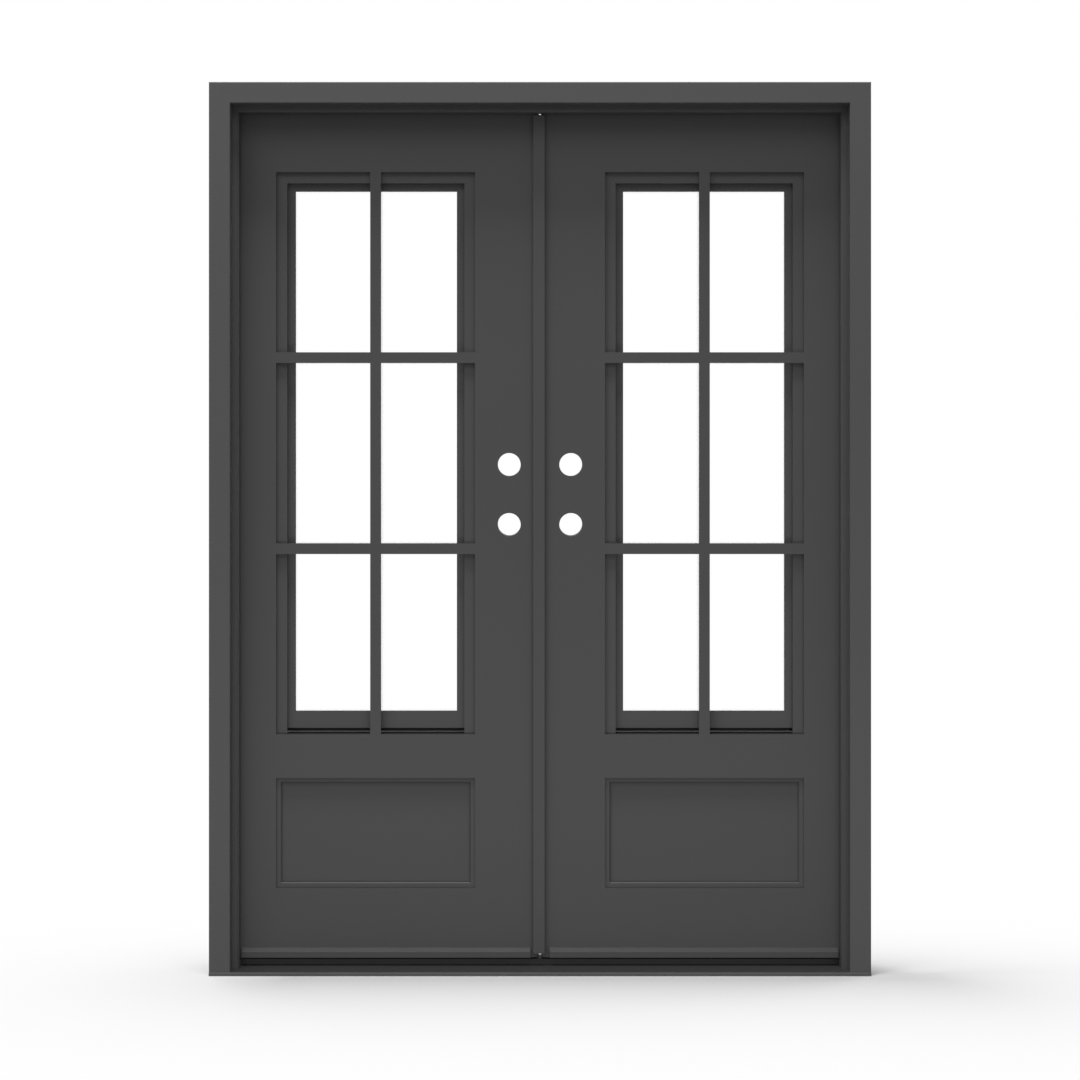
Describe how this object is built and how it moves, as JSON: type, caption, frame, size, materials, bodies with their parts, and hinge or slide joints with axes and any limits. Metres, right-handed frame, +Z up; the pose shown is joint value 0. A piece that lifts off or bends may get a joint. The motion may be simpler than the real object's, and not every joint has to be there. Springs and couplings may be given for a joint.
{
  "type": "double door",
  "caption": "Iron double door in its steel frame: inswing leaves with flush glazing bars, opening glass sashes behind them, recessed kick panels, lock bores and a saddle threshold.",
  "frame": {"origin": "middle of the threshold's underside, half way through the depth of the frame", "axes": "+X to the right seen from outside, +Y into the room, +Z up"},
  "size_m": [1.524, 0.1735, 2.057],
  "materials": {
    "dark_paint": "matte, fine texture",
    "clear_glass": "clear polished",
    "black_rubber": "matte",
    "bare_steel": "satin",
    "spacer_metal": "dark anodised"
  },
  "bodies": {
    "frame": {"jamb_left": "dark_paint", "jamb_right": "dark_paint", "head_jamb": "dark_paint", "threshold": "dark_paint", "door_stops": "dark_paint", "frame_weatherstrip": "black_rubber", "jamb_hinge_halves": "dark_paint", "hinge_pins": "bare_steel"},
    "active_leaf": {"active_hinge_stile": "dark_paint", "active_lock_stile": "dark_paint", "active_top_rail": "dark_paint", "active_mid_rail": "dark_paint", "active_bottom_rail": "dark_paint", "active_kick_panel": "dark_paint", "active_panel_moulding": "dark_paint", "active_vertical_bar": "dark_paint", "active_upper_cross_bar": "dark_paint", "active_lower_cross_bar": "dark_paint", "active_glass_stops": "dark_paint", "active_sash_seal": "black_rubber", "active_drip_cap": "dark_paint", "active_bottom_seal": "black_rubber", "active_hinge_straps": "dark_paint", "active_sash_hinge_plates": "dark_paint"},
    "active_sash": {"active_sash_frame": "dark_paint", "active_glass_panes": "clear_glass", "active_pane_spacer": "spacer_metal", "active_glazing_beads": "dark_paint", "active_sash_hinge_wings": "dark_paint"},
    "active_upper_button": {"active_upper_button": "dark_paint"},
    "active_lower_button": {"active_lower_button": "dark_paint"},
    "passive_leaf": {"passive_hinge_stile": "dark_paint", "passive_lock_stile": "dark_paint", "passive_top_rail": "dark_paint", "passive_mid_rail": "dark_paint", "passive_bottom_rail": "dark_paint", "passive_kick_panel": "dark_paint", "passive_panel_moulding": "dark_paint", "passive_vertical_bar": "dark_paint", "passive_upper_cross_bar": "dark_paint", "passive_lower_cross_bar": "dark_paint", "passive_glass_stops": "dark_paint", "passive_sash_seal": "black_rubber", "passive_drip_cap": "dark_paint", "passive_bottom_seal": "black_rubber", "passive_hinge_straps": "dark_paint", "passive_sash_hinge_plates": "dark_paint", "astragal": "dark_paint", "astragal_seal": "black_rubber", "flush_bolt_plates": "bare_steel"},
    "passive_sash": {"passive_sash_frame": "dark_paint", "passive_glass_panes": "clear_glass", "passive_pane_spacer": "spacer_metal", "passive_glazing_beads": "dark_paint", "passive_sash_hinge_wings": "dark_paint"},
    "passive_upper_button": {"passive_upper_button": "dark_paint"},
    "passive_lower_button": {"passive_lower_button": "dark_paint"},
    "upper_flush_bolt": {"flush_bolt_upper": "bare_steel"},
    "lower_flush_bolt": {"flush_bolt_lower": "bare_steel"}
  },
  "joints": [
    {"name": "active_leaf_swing", "type": "hinge", "parent": "frame", "child": "active_leaf", "pos_m": [0.7105, 0.0855, 1], "axis": [0, 0, -1], "range_deg": [0, 110]},
    {"name": "passive_leaf_swing", "type": "hinge", "parent": "frame", "child": "passive_leaf", "pos_m": [-0.7105, 0.0855, 1], "axis": [0, 0, 1], "range_deg": [0, 88]},
    {"name": "active_sash_swing", "type": "hinge", "parent": "active_leaf", "child": "active_sash", "pos_m": [0.614, 0.0815, 1.2], "axis": [0, 0, -1], "range_deg": [0, 90]},
    {"name": "passive_sash_swing", "type": "hinge", "parent": "passive_leaf", "child": "passive_sash", "pos_m": [-0.614, 0.0815, 1.2], "axis": [0, 0, 1], "range_deg": [0, 90]},
    {"name": "active_upper_button_turn", "type": "hinge", "parent": "active_leaf", "child": "active_upper_button", "pos_m": [0.13775, 0.075, 1.555], "axis": [0, 1, 0], "range_deg": [0, 90]},
    {"name": "active_lower_button_turn", "type": "hinge", "parent": "active_leaf", "child": "active_lower_button", "pos_m": [0.13775, 0.075, 0.8585], "axis": [0, 1, 0], "range_deg": [0, 90]},
    {"name": "passive_upper_button_turn", "type": "hinge", "parent": "passive_leaf", "child": "passive_upper_button", "pos_m": [-0.13775, 0.075, 1.555], "axis": [0, -1, 0], "range_deg": [0, 90]},
    {"name": "passive_lower_button_turn", "type": "hinge", "parent": "passive_leaf", "child": "passive_lower_button", "pos_m": [-0.13775, 0.075, 0.8585], "axis": [0, -1, 0], "range_deg": [0, 90]},
    {"name": "upper_flush_bolt_slide", "type": "slide", "parent": "passive_leaf", "child": "upper_flush_bolt", "axis": [0, 0, 1], "range_m": [0, 0.025]},
    {"name": "lower_flush_bolt_slide", "type": "slide", "parent": "passive_leaf", "child": "lower_flush_bolt", "axis": [0, 0, -1], "range_m": [0, 0.025]}
  ],
  "couplings": [
    {"joint": "passive_leaf_swing", "follows": "active_leaf_swing", "ratio": 0.8}
  ]
}
